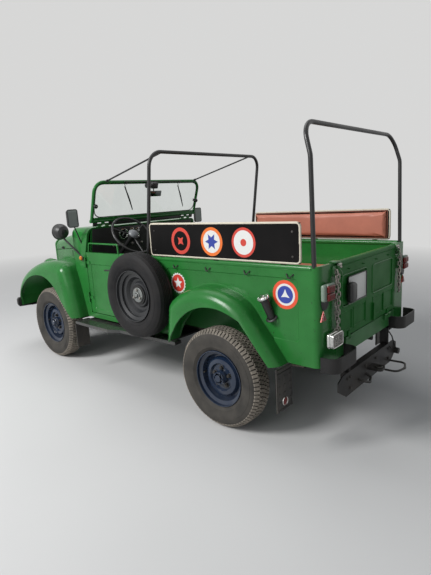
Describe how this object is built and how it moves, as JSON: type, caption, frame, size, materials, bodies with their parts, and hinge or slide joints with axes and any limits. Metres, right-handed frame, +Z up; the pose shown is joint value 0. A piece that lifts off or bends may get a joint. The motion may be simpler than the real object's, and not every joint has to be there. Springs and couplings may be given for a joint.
{
  "type": "army 4x4 car",
  "caption": "Open light army 4x4 car with doors, folding windscreen, hood, tailgate, side benches, top bows and a side spare wheel.",
  "frame": {"origin": "on the ground, under the middle of the car's bounding box", "axes": "+X forward, +Y to the car's left, +Z up"},
  "size_m": [3.9589, 1.75, 2.0612],
  "materials": {
    "board": "painted black",
    "inner_paint": "gloss",
    "bench_cover": "satin",
    "body_paint": "gloss",
    "chassis_paint": "satin",
    "cast_metal": "rough",
    "steel": "dull",
    "rim_paint": "gloss",
    "tyre": "matte",
    "seat_cover": "satin",
    "black_plastic": "matte",
    "lamp_metal": "polished",
    "black_rubber": "satin",
    "lamp": "gloss",
    "screen_glass": "clear"
  },
  "bodies": {
    "chassis": {"bench_backs": "board", "bench_frames": "inner_paint", "bench_pads": "bench_cover", "body_sides": "body_paint", "canopy_bows": "chassis_paint", "cowl": "body_paint", "driveline": "cast_metal", "engine": "cast_metal", "exhaust": "steel", "floor_tub": "inner_paint", "front_axle": "chassis_paint", "front_bumper": "chassis_paint", "front_fenders": "body_paint", "front_seats": "seat_cover", "fuel_filler": "black_plastic", "fuel_tank": "chassis_paint", "gear_levers": "steel", "grille_panel": "body_paint", "headlights": "lamp_metal", "ladder_frame": "chassis_paint", "leaf_springs": "chassis_paint", "mirrors": "black_plastic", "mud_flaps": "black_rubber", "rear_axle": "chassis_paint", "rear_bumperettes": "chassis_paint", "rear_fenders": "body_paint", "running_boards": "black_rubber", "spare_carrier": "steel", "spare_rim": "rim_paint", "spare_tyre": "tyre", "spot_lamp": "black_plastic", "steering_column": "black_plastic", "tail_lights": "lamp", "tow_hitch": "chassis_paint"},
    "hood_lid": {"hood": "body_paint"},
    "left_door_leaf": {"left_door": "body_paint"},
    "right_door_leaf": {"right_door": "body_paint"},
    "tailgate_leaf": {"tailgate": "body_paint"},
    "windscreen": {"windscreen_frame": "body_paint", "windscreen_glass": "screen_glass"},
    "steering": {"steering_wheel": "black_plastic"},
    "left_steer": {"left_knuckle": "chassis_paint"},
    "right_steer": {"right_knuckle": "chassis_paint"},
    "front_left_wheel": {"front_left_tyre": "tyre", "front_left_rim": "rim_paint"},
    "front_right_wheel": {"front_right_tyre": "tyre", "front_right_rim": "rim_paint"},
    "rear_left_wheel": {"rear_left_tyre": "tyre", "rear_left_rim": "rim_paint"},
    "rear_right_wheel": {"rear_right_tyre": "tyre", "rear_right_rim": "rim_paint"}
  },
  "joints": [
    {"name": "left_steer_pivot", "type": "hinge", "parent": "chassis", "child": "left_steer", "pos_m": [1.25, 0.588, 0.365], "axis": [0.0349, 0, 0.9994], "range_deg": [-29, 29]},
    {"name": "front_left_wheel_spin", "type": "hinge", "parent": "left_steer", "child": "front_left_wheel", "pos_m": [1.25, 0.72, 0.365], "axis": [0, 1, 0], "continuous": true},
    {"name": "rear_left_wheel_spin", "type": "hinge", "parent": "chassis", "child": "rear_left_wheel", "pos_m": [-1.05, 0.72, 0.365], "axis": [0, 1, 0], "continuous": true},
    {"name": "left_door_hinge", "type": "hinge", "parent": "chassis", "child": "left_door_leaf", "pos_m": [0.637, 0.715, 0.87879], "axis": [-0.0349, 0, -0.9994], "range_deg": [0, 70]},
    {"name": "right_steer_pivot", "type": "hinge", "parent": "chassis", "child": "right_steer", "pos_m": [1.25, -0.588, 0.365], "axis": [0.0349, 0, 0.9994], "range_deg": [-29, 29]},
    {"name": "front_right_wheel_spin", "type": "hinge", "parent": "right_steer", "child": "front_right_wheel", "pos_m": [1.25, -0.72, 0.365], "axis": [0, 1, 0], "continuous": true},
    {"name": "rear_right_wheel_spin", "type": "hinge", "parent": "chassis", "child": "rear_right_wheel", "pos_m": [-1.05, -0.72, 0.365], "axis": [0, 1, 0], "continuous": true},
    {"name": "right_door_hinge", "type": "hinge", "parent": "chassis", "child": "right_door_leaf", "pos_m": [0.637, -0.715, 0.87879], "axis": [0.0349, 0, 0.9994], "range_deg": [0, 70]},
    {"name": "steering_wheel_turn", "type": "hinge", "parent": "chassis", "child": "steering", "pos_m": [0.33501, 0.375, 1.28558], "axis": [-0.7431, 0, 0.6691], "range_deg": [-522, 522]},
    {"name": "hood_hinge", "type": "hinge", "parent": "chassis", "child": "hood_lid", "pos_m": [0.84623, 0, 1.36879], "axis": [0, -1, 0], "range_deg": [0, 60]},
    {"name": "windscreen_fold", "type": "hinge", "parent": "chassis", "child": "windscreen", "pos_m": [0.56371, 0, 1.39467], "axis": [0, -1, 0], "range_deg": [-105, 0]},
    {"name": "tailgate_hinge", "type": "hinge", "parent": "chassis", "child": "tailgate_leaf", "pos_m": [-1.81138, 0, 0.71014], "axis": [0, -1, 0], "range_deg": [0, 90]}
  ],
  "couplings": [
    {"joint": "right_steer_pivot", "follows": "left_steer_pivot", "ratio": 1},
    {"joint": "steering_wheel_turn", "follows": "left_steer_pivot", "ratio": 18}
  ]
}
